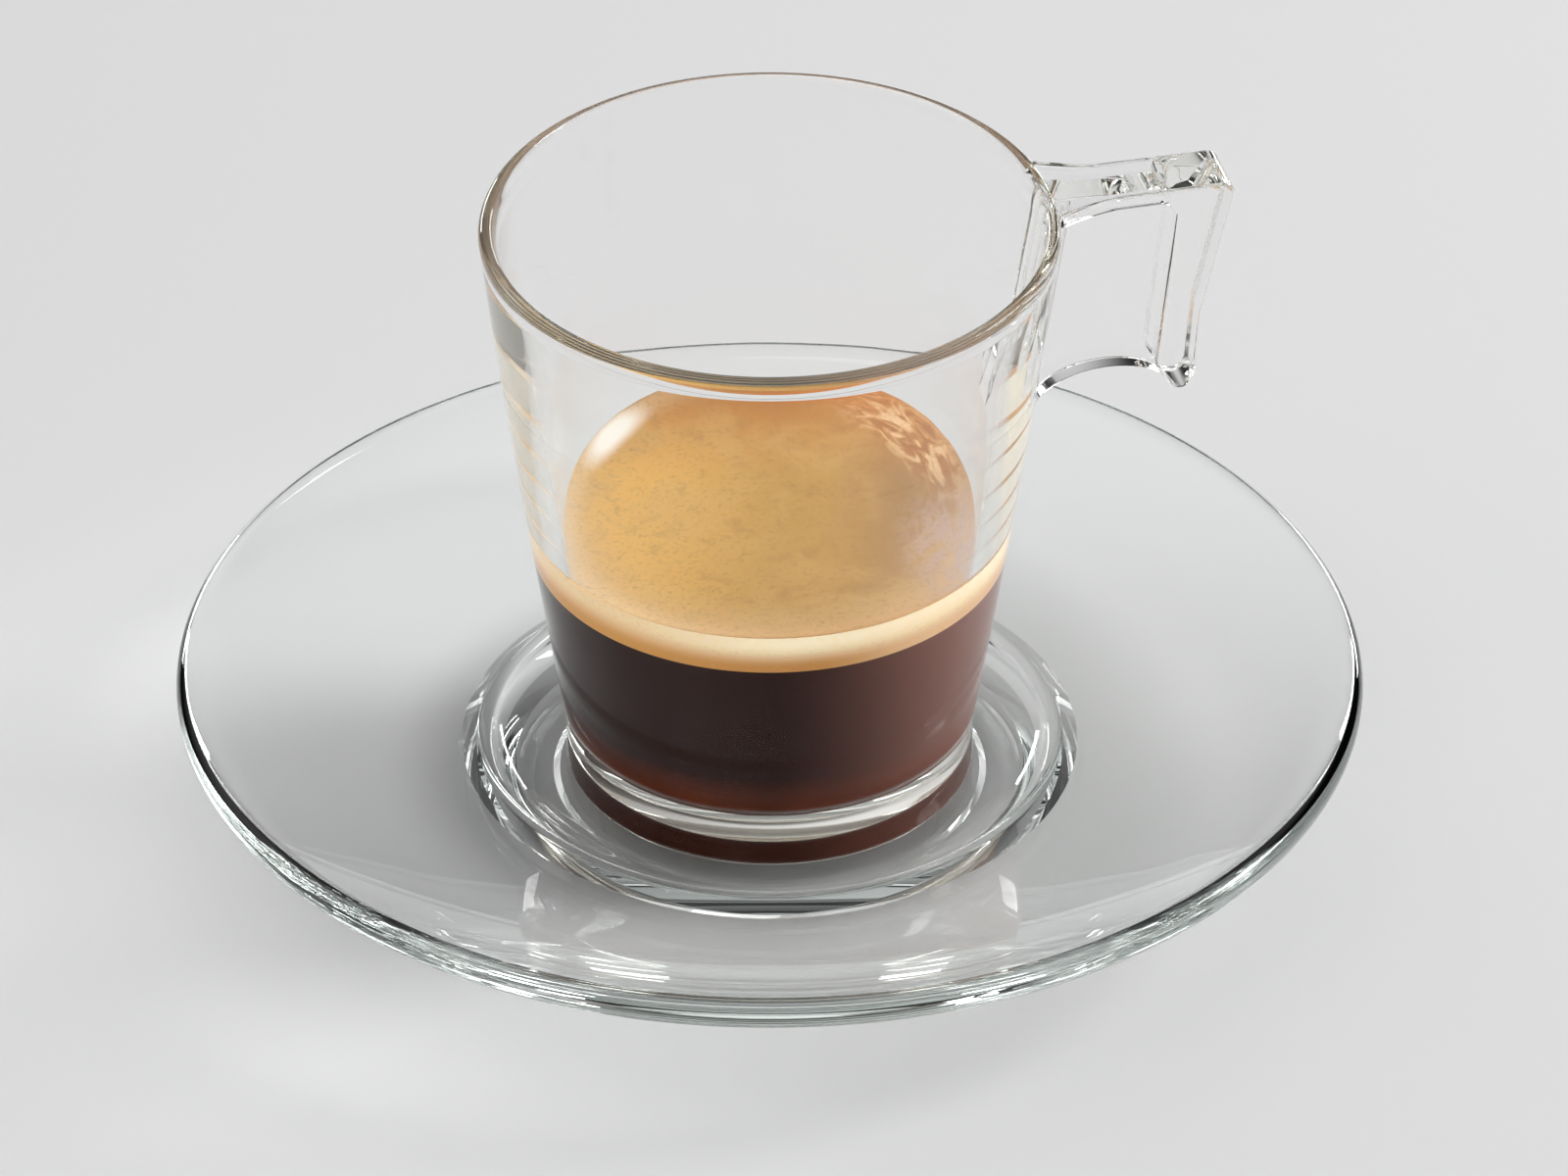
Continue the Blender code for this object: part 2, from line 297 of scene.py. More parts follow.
def slab(name, outline, push, rounding):
    """A flat outline, filled, pulled along one direction, with rounded edges."""
    obj = chain(name, outline)
    bpy.ops.mesh.select_all(action="SELECT")
    bpy.ops.mesh.edge_face_add()
    bpy.ops.mesh.extrude_region_move(TRANSFORM_OT_translate={"value": push})
    bpy.ops.mesh.select_all(action="SELECT")
    bpy.ops.mesh.normals_make_consistent(inside=False)
    bpy.ops.object.mode_set(mode="OBJECT")
    apply_modifier(
        obj, "BEVEL", width=rounding, segments=ROUNDING_STEPS, limit_method="ANGLE",
        angle_limit=ROUNDED_ANGLE,
    )
    return obj


def upright(name, outline, thickness, rounding):
    """A slab about the plane Y = 0, from an outline of distance and height."""
    points = [(r, -thickness / 2, z) for r, z in outline]
    return slab(name, points, (0, thickness, 0), rounding)


# %% Shape the flange, the leg and the web, and melt them into the cup
corner = (HANDLE_REACH - HANDLE_CORNER, HANDLE_TOP - HANDLE_CORNER)
frame_outline = [(HANDLE_ROOT, FLANGE_UNDER), (HANDLE_ROOT, HANDLE_TOP)]
frame_outline += arc(corner, HANDLE_CORNER, 90, 10, HANDLE_CORNER_STEPS)
frame_outline += LEG_OUTSIDE + LEG_INSIDE + [LEG_TO_FLANGE]
web_outline = [
    (HANDLE_ROOT, WEB_TOP),
    (LEG_INSIDE[2][0] + WEB_IN_LEG, WEB_TOP),
    (LEG_INSIDE[1][0] + WEB_IN_LEG, LEG_INSIDE[1][1]),
    *arc(ARCH_CENTRE, ARCH_RADIUS, *ARCH_SWEEP, ARCH_STEPS, ARCH_FLATTEN),
    WEB_FOOT,
]
wall_slope = (LIP_RADIUS - FOOT_RADIUS) / (lip_z - FOOT_STRAIGHT_TOP)
root_foot = ARCH_CENTRE[1] + ROOT_OVER_ARCH
root_foot_r = FOOT_RADIUS + (root_foot - FOOT_STRAIGHT_TOP) * wall_slope
root_outline = [
    (HANDLE_ROOT - ROOT_TOP_IN, WEB_TOP),
    (LIP_RADIUS + ROOT_REACH, WEB_TOP),
    (root_foot_r + ROOT_REACH, root_foot + ROOT_FOOT_RISE),
    (root_foot_r - ROOT_FOOT_IN, root_foot - ROOT_FOOT_DROP),
]
flare_side = []
for i in range(FLARE_STEPS + 1):
    r = HANDLE_ROOT + (FLARE_END - HANDLE_ROOT) * i / FLARE_STEPS
    widening = FLARE_WIDTH * (1 - i / FLARE_STEPS) ** FLARE_CURVE
    flare_side.append((r, HANDLE_WIDTH / 2 + widening - FLARE_INSET))
flare_bottom = FLANGE_UNDER + FLARE_STEP
flare_height = HANDLE_TOP - FLARE_STEP - flare_bottom
flare_outline = [(r, y, flare_bottom) for r, y in flare_side]
flare_outline += [(r, -y, flare_bottom) for r, y in reversed(flare_side)]
slabs = [
    upright("handle_frame", frame_outline, HANDLE_WIDTH, HANDLE_ROUNDING),
    upright("handle_web", web_outline, WEB_THICKNESS, WEB_ROUNDING),
    upright("handle_root", root_outline, ROOT_THICKNESS, HANDLE_ROUNDING),
    slab("handle_flare", flare_outline, (0, 0, flare_height), FLARE_ROUNDING),
]
for piece in slabs:
    apply_modifier(cup, "BOOLEAN", operation="UNION", solver="EXACT", object=piece)
    bpy.data.objects.remove(piece)
shade_evenly(cup)
print("cup with its handle:", len(cup.data.polygons), "faces")

# %% [markdown]
# ## The saucer
# The saucer is one thick sheet of glass. A level well carries the cup, a low ridge rings the well,
# and a shallow dished flange rises to a full rounded edge. It stands on a flat foot ring.

# %% The saucer's section
SAUCER_RADIUS = 60.0 * MM
SAUCER_TOP = 14.9 * MM
SAUCER_EDGE = 1.5 * MM
WELL_FLOOR = 3.5 * MM
WELL_RADIUS = 22.0 * MM
COVE_RADIUS = 8.2 * MM
COVE_SWEEP = 46
RIDGE_CENTRE = (29.0 * MM, 5.55 * MM)
RIDGE_ROUNDING = 1.2 * MM
RIDGE_END = 50
FLANGE_START = (31.2 * MM, 5.75 * MM)
FLANGE_END = (58.1 * MM, 14.8 * MM)
FLANGE_SAG = 1.1 * MM
UNDERSIDE_EDGE = (57.3 * MM, 11.45 * MM)
UNDERSIDE_FOOT = (28.5 * MM, 2.0 * MM)
FOOT_OUTER = 27.0 * MM
FOOT_INNER = 22.0 * MM
FOOT_RECESS = 0.7 * MM
EDGE_SWEEP = (75, -60)
WELL_STEPS = 12
RIDGE_STEPS = 10
FLANGE_STEPS = 40
EDGE_STEPS = 14
UNDERSIDE_STEPS = 16

edge_centre = (SAUCER_RADIUS - SAUCER_EDGE, SAUCER_TOP - SAUCER_EDGE)
well = [(0.0, WELL_FLOOR), (WELL_RADIUS * 0.5, WELL_FLOOR)]
cove_centre = (WELL_RADIUS, WELL_FLOOR + COVE_RADIUS)
well += arc(cove_centre, COVE_RADIUS, -90, COVE_SWEEP - 90, WELL_STEPS)
ridge = arc(RIDGE_CENTRE, RIDGE_ROUNDING, 90 + COVE_SWEEP, RIDGE_END, RIDGE_STEPS)
flange = bowed(FLANGE_START, FLANGE_END, -FLANGE_SAG, FLANGE_STEPS)
edge = arc(edge_centre, SAUCER_EDGE, *EDGE_SWEEP, EDGE_STEPS)
underside = bowed(UNDERSIDE_EDGE, UNDERSIDE_FOOT, FLANGE_SAG, UNDERSIDE_STEPS)
foot_ring = [
    (FOOT_OUTER, 0.0), (FOOT_INNER, 0.0), (FOOT_INNER - FOOT_RECESS, FOOT_RECESS),
    (0.0, FOOT_RECESS),
]
saucer = spun("glass_saucer", well + ridge + flange + edge + underside + foot_ring)
shade_evenly(saucer)

# %% [markdown]
# ## The drink
# A drink wets the glass, so no air shows between them. The rendered pieces therefore reach a
# little into the glass on every side. The crema is a roll of foam: its face curves up to the wall,
# and at the side it shows as a band through the glass.

# %% Coffee and crema
CREMA_TOP = 33.2 * MM
CREMA_BOTTOM = 29.1 * MM
INTO_GLASS = 0.4 * MM
MENISCUS_WIDTH = 2.6 * MM
MENISCUS_RISE = 0.45 * MM
MENISCUS_CURVE = 2.2
MENISCUS_STEPS = 8
FACE_RINGS = (0.0, 0.2, 0.4, 0.6, 0.75)
CREMA_UNDER = 0.2 * MM
CREMA_UNDER_RING = 0.6

coffee_corner = arc(
    (corner_r, corner_z), INNER_CORNER + INTO_GLASS, -math.degrees(wall_lean), -90, CORNER_STEPS
)
coffee_section = [
    (0.0, CREMA_BOTTOM), (inner_radius(CREMA_BOTTOM) + INTO_GLASS, CREMA_BOTTOM),
    *coffee_corner, (floor_middle, INNER_FLOOR - INTO_GLASS), (0.0, INNER_FLOOR - INTO_GLASS),
]
coffee = spun("coffee_body", coffee_section)
shade_evenly(coffee)

wall_edge = inner_radius(CREMA_TOP + MENISCUS_RISE)
crema_section = [(wall_edge * share, CREMA_TOP) for share in FACE_RINGS]
for i in range(MENISCUS_STEPS + 1):
    share = i / MENISCUS_STEPS
    r = wall_edge - MENISCUS_WIDTH * (1 - share)
    crema_section.append((r, CREMA_TOP + MENISCUS_RISE * share ** MENISCUS_CURVE))
crema_section += [
    (wall_edge + INTO_GLASS, CREMA_TOP + MENISCUS_RISE),
    (inner_radius(CREMA_BOTTOM) + INTO_GLASS, CREMA_BOTTOM),
    (inner_radius(CREMA_BOTTOM) * CREMA_UNDER_RING, CREMA_BOTTOM - CREMA_UNDER),
    (0.0, CREMA_BOTTOM - CREMA_UNDER),
]
crema = spun("crema_foam", crema_section)
shade_evenly(crema)

# %% [markdown]
# ## Helpers for materials
# A finish is built from a few moves: turn a value into a soft mask, multiply masks, and lay one
# colour over another by a mask. Each helper below adds the nodes of one such move to the tree of
# the material that is being made, and gives back the socket that holds the result.

# %% Nodes, colours and materials
def srgb(red, green, blue):
    """A colour as painted on screen, 0 to 255, turned into the light it stands for."""
    values = []
    for value in (red, green, blue):
        share = value / 255
        low = share <= 0.04045
        values.append(share / 12.92 if low else ((share + 0.055) / 1.055) ** 2.4)
    return (*values, 1.0)


BLACK = (0.0, 0.0, 0.0, 1.0)
WHITE = (1.0, 1.0, 1.0, 1.0)


def new_material(name):
    """A new material, its node tree and its shader."""
    material = bpy.data.materials.new(name)
    material.use_nodes = True
    return material, material.node_tree, material.node_tree.nodes["Principled BSDF"]


def plug(node, values):
    """Give a node's inputs their values: a socket is linked, anything else is set."""
    for key, value in values.items():
        if isinstance(value, bpy.types.NodeSocket):
            tree.links.new(value, node.inputs[key])
        else:
            node.inputs[key].default_value = value


def add(kind, values=None, **settings):
    """A node in the current tree, with its settings and its inputs' values."""
    node = tree.nodes.new(kind)
    for key, value in settings.items():
        setattr(node, key, value)
    plug(node, values or {})
    return node


# %% Masks and mixes
def ramp(source, low, high, start=0.0, end=1.0, kind="SMOOTHSTEP"):
    """A mask that goes from start to end while the source goes from low to high."""
    node = add("ShaderNodeMapRange", {
        "Value": source, "From Min": low, "From Max": high, "To Min": start, "To Max": end,
    }, interpolation_type=kind)
    return node.outputs["Result"]


def times(first, second):
    """One mask or value multiplied by another."""
    return add("ShaderNodeMath", {0: first, 1: second}, operation="MULTIPLY").outputs["Value"]


def mix_colours(factor, under, over):
    """Lay one colour over another by a mask."""
    values = {"Factor": factor, "A": under, "B": over}
    return add("ShaderNodeMix", values, data_type="RGBA").outputs["Result"]


def stretched(source, amounts):
    """Coordinates multiplied along each axis."""
    node = add("ShaderNodeVectorMath", {0: source, 1: amounts}, operation="MULTIPLY")
    return node.outputs["Vector"]


def moved(source, shift):
    """Coordinates taken from another point."""
    node = add("ShaderNodeVectorMath", {0: source, 1: shift}, operation="SUBTRACT")
    return node.outputs["Vector"]


def length(source):
    """Distance of a point from the origin of its coordinates."""
    return add("ShaderNodeVectorMath", {0: source}, operation="LENGTH").outputs["Value"]


def noise(source, scale, detail, distortion=0.0):
    """A cloudy value about one half; a larger scale gives finer clouds."""
    node = add("ShaderNodeTexNoise", {
        "Vector": source, "Scale": scale, "Detail": detail, "Distortion": distortion,
    })
    return node.outputs["Fac"]


def near(source, centre, reach):
    """A soft oval mask about a point, with centre and reach in millimetres."""
    from_centre = moved(source, (centre[0] * MM, centre[1] * MM, 0.0))
    scaled = stretched(from_centre, (1 / (reach[0] * MM), 1 / (reach[1] * MM), 0.0))
    return ramp(length(scaled), 1.0, 0.2)


# %% Coordinates as the camera sees them
def picture_frame():
    """Object coordinates, the same turned so that X runs across the picture, and its parts."""
    place = add("ShaderNodeTexCoord").outputs["Object"]
    turned = add("ShaderNodeMapping", {"Vector": place, "Rotation": (0.0, 0.0, HANDLE_TURN)})
    parts = add("ShaderNodeSeparateXYZ", {"Vector": turned.outputs["Vector"]})
    return place, turned.outputs["Vector"], parts.outputs


# %% [markdown]
# ## Glass
# Clear glass is one shader with full transmission. Pressed glass is never perfectly flat, so a
# shared group gives a faint ripple as a height, and each glass feeds it to a bump of its own depth.
# Light that falls through glass on a table would need very long paths, so shadow rays see a clear
# filter instead: nearly open where the glass faces them, and dim where they meet it edge-on.

# %% The ripple of pressed glass
ripple = bpy.data.node_groups.new("pressed_glass_ripple", "ShaderNodeTree")
ripple.interface.new_socket("Vector", in_out="INPUT", socket_type="NodeSocketVector")
ripple.interface.new_socket("Size", in_out="INPUT", socket_type="NodeSocketFloat")
ripple.interface.new_socket("Height", in_out="OUTPUT", socket_type="NodeSocketFloat")
tree = ripple
ripple_in = add("NodeGroupInput")
waves = add("ShaderNodeTexNoise", {
    "Vector": ripple_in.outputs["Vector"], "Scale": ripple_in.outputs["Size"],
    "Detail": 1.0, "Roughness": 0.4,
})
add("NodeGroupOutput", {"Height": waves.outputs["Fac"]})
print("group:", ripple.name)

# %% Clear glass for the cup and the saucer
GLASS_IOR = 1.5
FACING_FILTER = (0.92, 0.925, 0.92, 1.0)
EDGE_FILTER = (0.3, 0.31, 0.3, 1.0)
LYING_RIPPLE = (1.0, 1.0, 3.0)


def glass_material(name, colour, ripple_size, ripple_depth, tint, density, shine):
    """Clear glass: its colour, ripple, tint by depth, and how strongly its surface shines."""
    global tree
    material, tree, shader = new_material(name)
    place = add("ShaderNodeTexCoord").outputs["Object"]
    lying = add("ShaderNodeMapping", {"Vector": place, "Scale": LYING_RIPPLE}).outputs["Vector"]
    wave = add("ShaderNodeGroup", {"Vector": lying, "Size": ripple_size}, node_tree=ripple)
    bump = add("ShaderNodeBump", {
        "Height": wave.outputs["Height"], "Strength": 1.0, "Distance": ripple_depth,
    })
    plug(shader, {
        "Base Color": colour, "Roughness": 0.0, "IOR": GLASS_IOR, "Transmission Weight": 1.0,
        "Specular Tint": (shine, shine, shine, 1.0), "Normal": bump.outputs["Normal"],
    })
    steep = add("ShaderNodeLayerWeight", {"Blend": 0.5}).outputs["Facing"]
    open_shadow = add("ShaderNodeBsdfTransparent", {
        "Color": mix_colours(steep, FACING_FILTER, EDGE_FILTER),
    })
    either = add("ShaderNodeMixShader", {
        "Fac": add("ShaderNodeLightPath").outputs["Is Shadow Ray"],
        1: shader.outputs["BSDF"], 2: open_shadow.outputs["BSDF"],
    })
    absorb = add("ShaderNodeVolumeAbsorption", {"Color": tint, "Density": density})
    plug(tree.nodes["Material Output"], {
        "Surface": either.outputs["Shader"], "Volume": absorb.outputs["Volume"],
    })
    print(name, "has", len(tree.nodes), "nodes")
    return material


cup.data.materials.append(glass_material(
    "cup_clear_glass", colour=(0.99, 0.99, 0.99, 1.0), ripple_size=55.0, ripple_depth=0.02 * MM,
    tint=(0.94, 0.945, 0.82, 1.0), density=9.0, shine=0.3,
))
saucer.data.materials.append(glass_material(
    "saucer_clear_glass", colour=(0.985, 0.99, 0.987, 1.0), ripple_size=45.0,
    ripple_depth=0.03 * MM, tint=(0.82, 0.93, 0.88, 1.0), density=7.0, shine=1.0,
))

# %% [markdown]
# ## Where a liquid meets glass
# Seen through the glass, the face of a liquid mirrors light that strikes it at a shallow angle:
# beyond about 62 degrees everything is turned back, as in a light guide. That is why the thick
# base and the side walls of a glass look bright above and below a black drink. A Fresnel node
# whose index is that of water over glass gives this angle. Rays that have run round inside the
# wall meet the drink late and are given a painted pale grey in its place, which keeps the walls as
# clear as they look. The drink carries painted light too: a lighter brown on its right, a painted
# red-orange glow low down above its floor, and a faint painted glow in its own colours.

# %% Coffee
WATER_IN_GLASS = 0.887
PAINTED_WALL_LIGHT = srgb(214, 212, 204)
WALL_SHARE = 0.8
WALL_BOUNCES = (3.4, 3.6)
COFFEE_BLACK = srgb(48, 19, 14)
COFFEE_PAINTED_LIT_BROWN = srgb(150, 100, 88)
COFFEE_PAINTED_GLOW = srgb(150, 66, 26)
GLOW_FROM = INNER_FLOOR + 0.6 * MM
GLOW_TO = INNER_FLOOR + 5.5 * MM
FLOOR_TO = INNER_FLOOR + 0.8 * MM
FLOOR_SHARE = 0.25
MIRROR_FROM = INNER_FLOOR + 1.0 * MM
MIRROR_TO = INNER_FLOOR + 6.0 * MM
MIRROR_SHARE = 0.85
PAINTED_COFFEE_GLOW_STRENGTH = 0.15

coffee_look, tree, shader = new_material("espresso_black")
place, _, part = picture_frame()
# Painted glow: a red-orange light is laid over the lower part of the drink, just above its floor.
low = ramp(part["Z"], GLOW_FROM, GLOW_TO, 1.0, 0.0, "LINEAR")
off_floor = ramp(part["Z"], INNER_FLOOR - INTO_GLASS, FLOOR_TO, FLOOR_SHARE, 1.0, "LINEAR")
painted_low_glow = times(times(low, noise(place, 110.0, 3.0)), off_floor)
# Painted light: the drink turns a lighter brown towards the right, where the main light falls.
body = mix_colours(ramp(part["X"], 0.0, 20 * MM), COFFEE_BLACK, COFFEE_PAINTED_LIT_BROWN)
body = mix_colours(painted_low_glow, body, COFFEE_PAINTED_GLOW)
meet = add("ShaderNodeFresnel", {"IOR": WATER_IN_GLASS}).outputs["Fac"]
upper = ramp(part["Z"], MIRROR_FROM, MIRROR_TO, 1.0, MIRROR_SHARE, "LINEAR")
mirrored = times(ramp(meet, 0.02, 1.0, kind="LINEAR"), upper)
depth = add("ShaderNodeLightPath").outputs["Ray Depth"]
# Painted light: rays that come late see the drink as a pale grey, which stands for the light the
# wall carries.
late = ramp(depth, *WALL_BOUNCES, 0.0, WALL_SHARE, "LINEAR")
# The drink also glows faintly in its own colours: painted light, as the drink is no lamp.
plug(shader, {
    "Base Color": mix_colours(late, mix_colours(mirrored, body, WHITE), PAINTED_WALL_LIGHT),
    "Metallic": mirrored, "Roughness": 0.0, "Specular IOR Level": 0.0,
    "Emission Color": body, "Emission Strength": PAINTED_COFFEE_GLOW_STRENGTH,
})
coffee.data.materials.append(coffee_look)
print("coffee has", len(tree.nodes), "nodes")

# %% [markdown]
# ## Crema
# The foam is golden tan, browner towards the back, streaked with cream where the pour folded it,
# and full of fine pores. At the glass it turns pale. Light and shade are painted into its colour as
# well: the face is lit brighter and warmer on the left and shaded darker on the right, a painted
# white highlight sits at the back left, a painted pinkish reflection lies on the right, and the
# side band carries painted light and a painted glow. Most marks are laid on with soft masks: some
# in plain millimetres, and those that follow the glass in a frame that is bent round the rim, so
# that a long streak stays the same distance from the wall.

# %% Crema's face: a straight frame and one bent round the rim
RIM_TURN = 20.0

crema_look, tree, shader = new_material("golden_crema")
_, turned, part = picture_frame()
from_axis = length(stretched(turned, (1.0, 1.0, 0.0)))
angle = add("ShaderNodeMath", {0: part["Y"], 1: part["X"]}, operation="ARCTAN2").outputs["Value"]
bent = add("ShaderNodeCombineXYZ", {"X": times(angle, RIM_TURN * MM), "Y": from_axis})
rim_frame = bent.outputs["Vector"]


def at_rim(degrees, radius, reach_along, reach_across):
    """A soft mask at an angle and radius, stretched along the rim."""
    centre = (math.radians(degrees) * RIM_TURN, radius)
    return near(rim_frame, centre, (reach_along, reach_across))


print("rim frame: one radian is", RIM_TURN, "mm long")

# %% Crema's masks
leftness = ramp(part["X"], 3 * MM, -16 * MM)
rightness = ramp(part["X"], 4 * MM, 15 * MM)
backness = ramp(part["Y"], 3 * MM, 21 * MM)
frontness = ramp(part["Y"], 4 * MM, -14 * MM)
near_glass = ramp(from_axis, 18.4 * MM, 21.6 * MM)
near_front = times(ramp(from_axis, 14.0 * MM, 21.6 * MM), frontness)
clouds = noise(turned, 130.0, 3.0, 0.5)
mottle = noise(turned, 420.0, 4.0, 0.8)
grain = noise(turned, 2400.0, 2.0)
streaks = noise(stretched(rim_frame, (1.0, 2.6, 1.0)), 290.0, 5.0, 1.2)
cells = add("ShaderNodeTexVoronoi", {"Vector": turned, "Scale": 1150.0})
picked = add("ShaderNodeSeparateColor", {"Color": cells.outputs["Color"]}).outputs["Red"]
pores = times(ramp(cells.outputs["Distance"], 0.24, 0.1), ramp(picked, 0.6, 0.9))
# Painted reflection: a pinkish-grey haze on the right of the face stands for the glass in front
# mirroring the room.
right_painted_reflection = times(near(turned, (19.0, -6.0), (8.0, 13.0)), ramp(streaks, 0.35, 0.6, 0.25, 1.0))
crust = at_rim(72.0, 21.4, 15.0, 4.6)
fold = at_rim(36.0, 19.2, 14.0, 4.6)
# Painted highlight: a soft white glint on the back left of the face, where the main light is
# mirrored in the foam.
shine = at_rim(146.0, 20.6, 7.0, 2.3)
print("masks for the crema so far use", len(tree.nodes), "nodes")

# %% Crema's face, painted from the bottom layer up
# Painted light and shade: leftness makes the face and its pale edge brighter and warmer on the
# left, and rightness darkens the face on the right.
edge_tone = mix_colours(leftness, srgb(236, 178, 120), srgb(255, 218, 166))
face = mix_colours(leftness, srgb(200, 154, 84), srgb(246, 190, 98))
for mask, tone in (
    (times(rightness, 0.7), srgb(166, 126, 86)),
    (times(backness, 0.85), srgb(194, 120, 56)),
    (ramp(clouds, 0.4, 0.7, 0.0, 0.4), srgb(222, 178, 112)),
    (ramp(mottle, 0.5, 0.75, 0.0, 0.3), srgb(172, 126, 70)),
    (times(near_front, 0.6), srgb(244, 202, 144)),
    (times(near_glass, 0.5), edge_tone),
    (times(right_painted_reflection, 0.8), srgb(200, 170, 158)),
    (times(crust, 0.7), srgb(214, 126, 54)),
    (times(fold, 0.4), srgb(236, 180, 124)),
    (times(fold, ramp(streaks, 0.52, 0.4, 0.0, 0.75)), srgb(168, 104, 58)),
    (times(fold, ramp(streaks, 0.5, 0.62, 0.0, 0.7)), srgb(250, 214, 168)),
    (ramp(grain, 0.5, 0.75, 0.0, 0.3), srgb(160, 116, 64)),
    (times(pores, 0.18), srgb(132, 90, 48)),
    (times(shine, 0.95), srgb(255, 246, 230)),
):
    face = mix_colours(mask, face, tone)
print("with its face painted, crema has", len(tree.nodes), "nodes")

# %% Crema's side band: a pale roll above, golden below
# Painted light and shade: the band is lighter on the right and darker gold on the left; its pale
# roll is partly the foam's paler top and partly a painted highlight.
roll = ramp(part["Z"], CREMA_BOTTOM + 0.6 * MM, CREMA_TOP - 0.4 * MM)
band = mix_colours(roll, srgb(184, 128, 66), srgb(255, 238, 200))
band = mix_colours(times(rightness, 0.4), band, srgb(255, 226, 186))
band = mix_colours(times(leftness, 0.5), band, srgb(206, 150, 76))
band = mix_colours(ramp(grain, 0.5, 0.75, 0.0, 0.25), band, srgb(200, 150, 90))
print("band:", round((CREMA_TOP - CREMA_BOTTOM) / MM, 1), "mm high")

# %% Crema's finish
SIDE_SLOPE = (0.45, 0.25)
LATE_SHARE = 0.85
LATE_BOUNCES = (2.4, 2.6)
PAINTED_LATE_LIGHT = (0.35, 0.35, 0.33, 1.0)
CREMA_PAINTED_GLOW = 0.6
CREMA_ROUGHNESS = 0.42
CREMA_RELIEF = 0.05 * MM

normal = add("ShaderNodeNewGeometry").outputs["Normal"]
is_side = ramp(add("ShaderNodeSeparateXYZ", {"Vector": normal}).outputs["Z"], *SIDE_SLOPE)
meet = add("ShaderNodeFresnel", {"IOR": WATER_IN_GLASS}).outputs["Fac"]
at_side = times(meet, is_side)
mirrored = times(at_side, 0.95)
depth = add("ShaderNodeLightPath").outputs["Ray Depth"]
# Painted light: rays that come late see the side band as a pale grey that glows faintly.
late = times(times(ramp(depth, *LATE_BOUNCES), is_side), LATE_SHARE)
colour = mix_colours(mirrored, mix_colours(is_side, face, band), WHITE)
# Painted glow: the side band gives off light in its own colours, and the painted highlight on the
# face glows a little too; where the foam is mirrored through the glass the glow is turned off.
light = mix_colours(is_side, mix_colours(times(shine, 0.4), BLACK, WHITE), band)
light = mix_colours(at_side, light, BLACK)
bump = add("ShaderNodeBump", {
    "Height": mix_colours(0.35, mottle, grain), "Strength": 0.5, "Distance": CREMA_RELIEF,
})
plug(shader, {
    "Base Color": mix_colours(late, colour, PAINTED_WALL_LIGHT), "Metallic": mirrored,
    "Roughness": ramp(is_side, 0.0, 1.0, CREMA_ROUGHNESS, 0.0), "Specular IOR Level": 0.15,
    "Emission Color": mix_colours(late, light, PAINTED_LATE_LIGHT), "Emission Strength": CREMA_PAINTED_GLOW,
    "Normal": bump.outputs["Normal"],
})
crema.data.materials.append(crema_look)
print("crema has", len(tree.nodes), "nodes")

# %% [markdown]
# ## Hand the pieces over
# Each new piece rides on the one body and stands for its solid.

# %% Ride and replace
for piece, node, slot in (
    (cup, "cup", "clear_glass"),
    (saucer, "saucer", "saucer_glass"),
    (coffee, "coffee", "coffee"),
    (crema, "crema", "crema"),
):
    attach(piece, "root")
    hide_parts(node)
print("pieces:", [piece.name for piece in (cup, saucer, coffee, crema)])

# %% [markdown]
# ## The table
# The table is plain and pale. The clear filter that shadow rays see leaves it too bright under the
# thick glass, so a soft darker round is painted there, a little to the left, where the drink's
# shadow falls. Far from the cup the table fades to grey, so that the edges of the glass find
# something dark to bend into view.

# %% A plain table
TABLE_SIZE = 6.0
TABLE_DROP = 0.05 * MM
TABLE_PALE = (0.8, 0.8, 0.805, 1.0)
TABLE_FAR = (0.2, 0.2, 0.2, 1.0)
FADE_FROM = 0.16
FADE_TO = 0.8
SHADE_CENTRE = (-4.0 * MM, 2.0 * MM, 0.0)
SHADE_FROM = 22.0 * MM
SHADE_TO = 37.0 * MM
SHADE_TONE = 0.4

bpy.ops.object.select_all(action="DESELECT")
bpy.ops.mesh.primitive_plane_add(size=TABLE_SIZE, location=(0.0, 0.0, -TABLE_DROP))
table = bpy.context.object
table.name = "table"
table_look, tree, shader = new_material("pale_table")
place = add("ShaderNodeTexCoord").outputs["Object"]
tone = mix_colours(ramp(length(place), FADE_FROM, FADE_TO), TABLE_PALE, TABLE_FAR)
from_shade = length(moved(place, view_turn @ Vector(SHADE_CENTRE)))
shade = ramp(from_shade, SHADE_FROM, SHADE_TO, SHADE_TONE, 1.0)
shaded = add("ShaderNodeVectorMath", {0: tone, "Scale": shade}, operation="SCALE")
plug(shader, {
    "Base Color": shaded.outputs["Vector"], "Roughness": 0.6, "Specular IOR Level": 0.1,
})
table.data.materials.append(table_look)
print("table:", TABLE_SIZE, "m across")

# %% [markdown]
# ## The light
# A high soft sky leaves the glass to draw itself: bright inside, with thin dark lines where its
# edges bend the dark lower half of the room. Two cards that stand low at the back give the white
# lines, and the main light stands to the right.

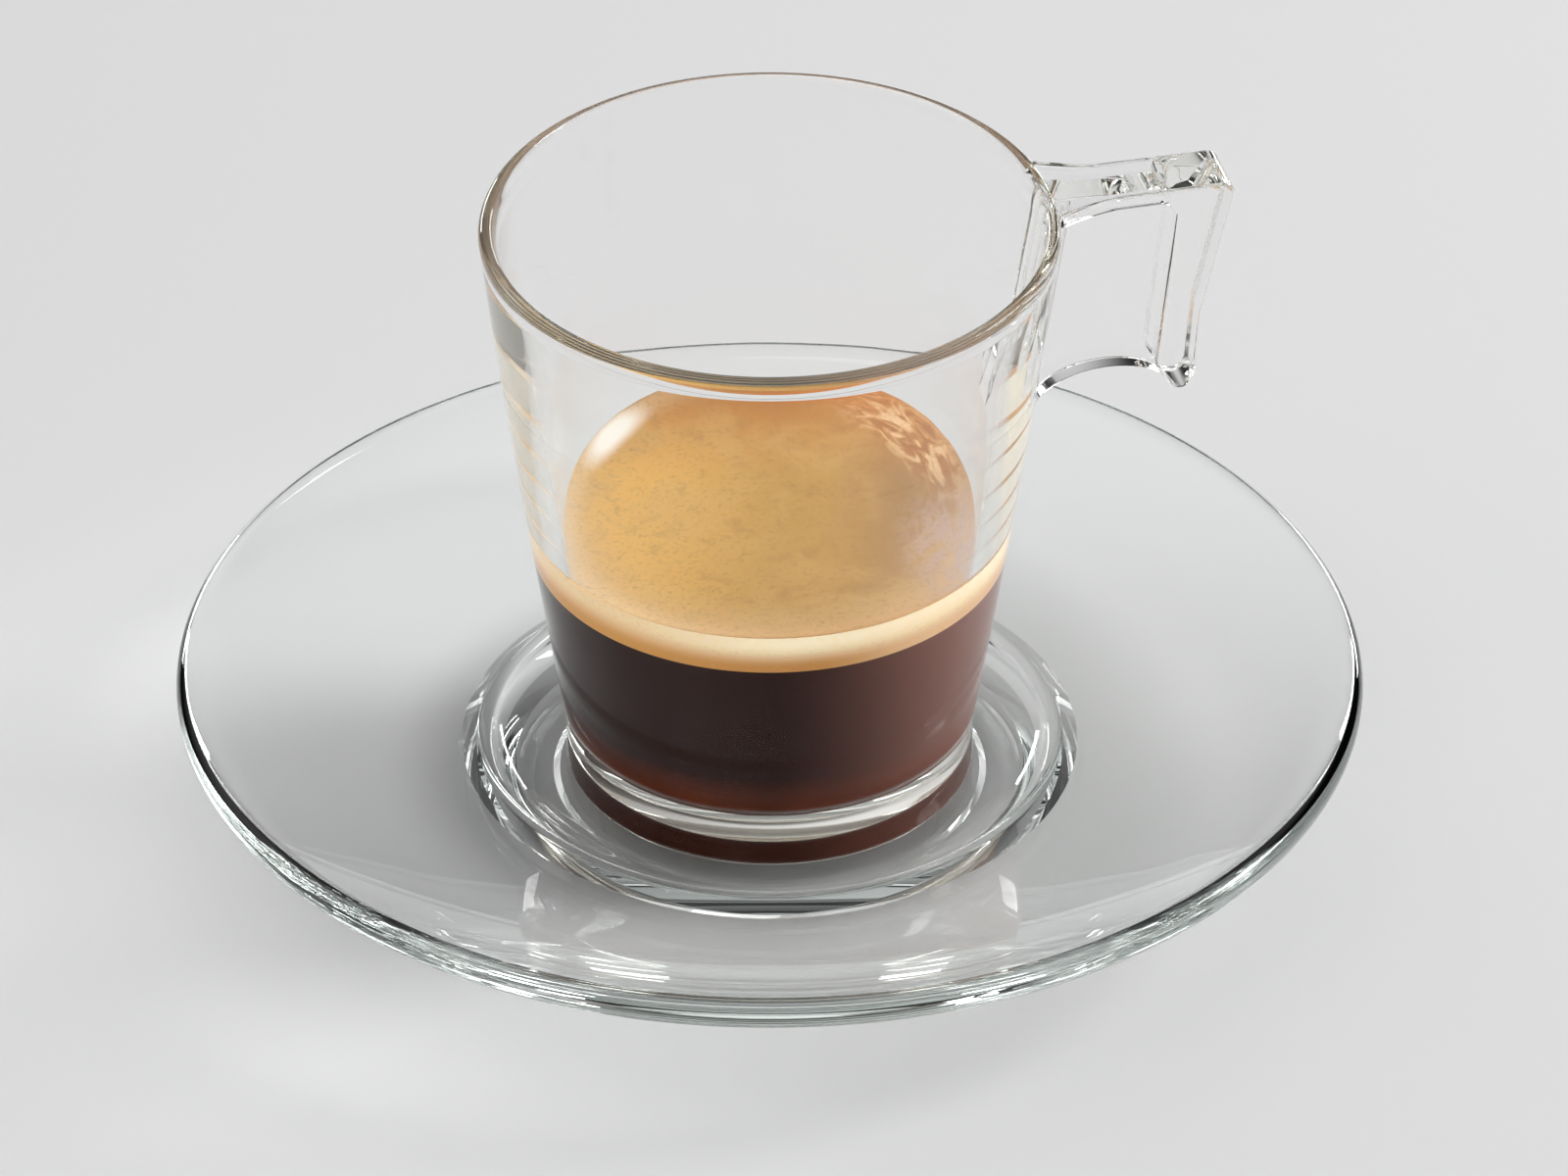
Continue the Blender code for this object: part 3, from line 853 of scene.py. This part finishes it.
# %% A sky that is bright above and dark below
SKY_WAY = (-0.28, 0.05, 1.0)
SKY_START = 0.34
SKY_DARK = 0.02
SKY_BRIGHT = 0.98

world = bpy.data.worlds.new("studio")
bpy.context.scene.world = world
world.use_nodes = True
tree = world.node_tree
around = add("ShaderNodeTexCoord").outputs["Generated"]
across = add("ShaderNodeMapping", {"Vector": around, "Rotation": (0.0, 0.0, HANDLE_TURN)})
height = add("ShaderNodeVectorMath", {
    0: across.outputs["Vector"], 1: SKY_WAY,
}, operation="DOT_PRODUCT").outputs["Value"]
sky = ramp(height, SKY_START, 1.0, SKY_DARK, SKY_BRIGHT)
plug(tree.nodes["Background"], {"Color": sky, "Strength": 1.0})
print("world:", world.name)


# %% Soft lights
LIGHT_AIM = (0.0, 0.0, 30.0 * MM)


def softbox(name, place, width, height, power):
    """A soft light that faces the cup and isn't seen by the camera itself."""
    light = bpy.data.lights.new(name, "AREA")
    light.shape = "RECTANGLE"
    light.size = width
    light.size_y = height
    light.energy = power
    obj = bpy.data.objects.new(name, light)
    bpy.context.scene.collection.objects.link(obj)
    obj.location = view_turn @ Vector(place)
    aim = Vector(LIGHT_AIM) - obj.location
    obj.rotation_euler = aim.to_track_quat("-Z", "Y").to_euler()
    obj.visible_camera = False
    print(name, "gives", power, "watts")


softbox("main_light", (1.0, 0.25, 0.7), 0.35, 0.35, 6.0)
softbox("top_light", (-0.35, -0.4, 1.2), 0.7, 0.7, 2.0)
softbox("left_card", (-0.6, 1.13, 0.17), 0.35, 0.2, 2.4)
softbox("right_card", (0.6, 1.13, 0.15), 0.45, 0.2, 3.0)

# %% [markdown]
# ## How the picture is developed
# Clear glass sends light round many corners before it comes out, so the paths are allowed to be
# long, and the tones are kept plain.

# %% Light paths and tones
LONG_PATH = 20

scene = bpy.context.scene
scene.view_settings.view_transform = "Standard"
scene.cycles.max_bounces = LONG_PATH
scene.cycles.glossy_bounces = LONG_PATH
scene.cycles.transmission_bounces = LONG_PATH
print("longest light path:", LONG_PATH, "bounces")
